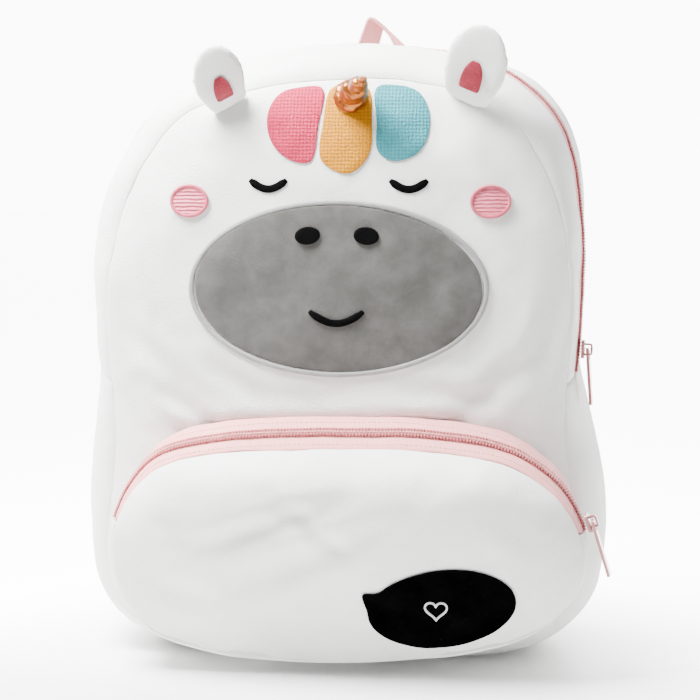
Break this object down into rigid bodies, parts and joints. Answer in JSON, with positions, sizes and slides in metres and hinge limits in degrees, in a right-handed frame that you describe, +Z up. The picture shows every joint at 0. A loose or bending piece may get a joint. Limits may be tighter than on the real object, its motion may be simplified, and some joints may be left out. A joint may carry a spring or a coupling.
{
  "type": "kids plush animal backpack",
  "caption": "Child's plush backpack shaped like a unicorn's head, with ears, horn, stitched face, zipped main compartment, zipped front pocket, handle and shoulder straps.",
  "frame": {"origin": "on the floor under the middle of the whole bag, at the bottom centre of its bounding box", "axes": "+Z up, -Y the way the face looks, +X to the right of someone who faces it"},
  "size_m": [0.2819, 0.1828, 0.3378],
  "materials": {
    "plush": "short white plush with a soft nap",
    "zip_tape": "pale pink woven zip tape",
    "zip_teeth": "dusty rose coil teeth",
    "zip_metal": "pink painted metal",
    "webbing": "pink woven webbing",
    "adjuster_plastic": "pink moulded plastic",
    "muzzle_plush": "short grey plush",
    "border_thread": "silver grey satin stitch",
    "black_thread": "black satin stitch",
    "cheek_thread": "pink embroidery in rows",
    "mane_pink_thread": "bright pink embroidery",
    "mane_yellow_thread": "golden yellow embroidery",
    "mane_turquoise_thread": "turquoise embroidery",
    "black_felt": "black short pile with a stitched edge",
    "ear_pink_plush": "deep pink short plush",
    "gold_foil_cloth": "crinkled metallic gold cloth"
  },
  "bodies": {
    "bag": {"back_panel": "plush", "bubble_patch": "black_felt", "cheek_left": "cheek_thread", "cheek_right": "cheek_thread", "ear_inner_left": "ear_pink_plush", "ear_inner_right": "ear_pink_plush", "ear_left": "plush", "ear_right": "plush", "eye_left": "black_thread", "eye_right": "black_thread", "front_panel": "plush", "gusset_back": "plush", "gusset_base": "plush", "gusset_front": "plush", "handle_loop": "webbing", "horn": "gold_foil_cloth", "main_zip_chain": "zip_teeth", "main_zip_slider": "zip_metal", "main_zip_tape": "zip_tape", "mane_pink": "mane_pink_thread", "mane_turquoise": "mane_turquoise_thread", "mane_yellow": "mane_yellow_thread", "mouth": "black_thread", "muzzle_border": "border_thread", "muzzle_patch": "muzzle_plush", "nostril_left": "black_thread", "nostril_right": "black_thread", "pocket_panel": "plush", "pocket_side": "plush", "pocket_zip_chain": "zip_teeth", "pocket_zip_slider": "zip_metal", "pocket_zip_tape": "zip_tape", "strap_adjuster_left": "adjuster_plastic", "strap_adjuster_right": "adjuster_plastic", "strap_pad_left": "plush", "strap_pad_right": "plush", "strap_webbing_left": "webbing", "strap_webbing_right": "webbing"},
    "main_pull": {"main_zip_pull": "zip_metal"},
    "pocket_pull": {"pocket_zip_pull": "zip_metal"}
  },
  "joints": [
    {"name": "main_pull_swing", "type": "hinge", "parent": "bag", "child": "main_pull", "pos_m": [0.12785, -0.019, 0.16285], "axis": [-0.0924, -0.9901, 0.1052], "range_deg": [0, 150]},
    {"name": "pocket_pull_swing", "type": "hinge", "parent": "bag", "child": "pocket_pull", "pos_m": [0.13137, -0.05908, 0.08003], "axis": [-0.0793, -0.9965, -0.0269], "range_deg": [0, 110]}
  ]
}
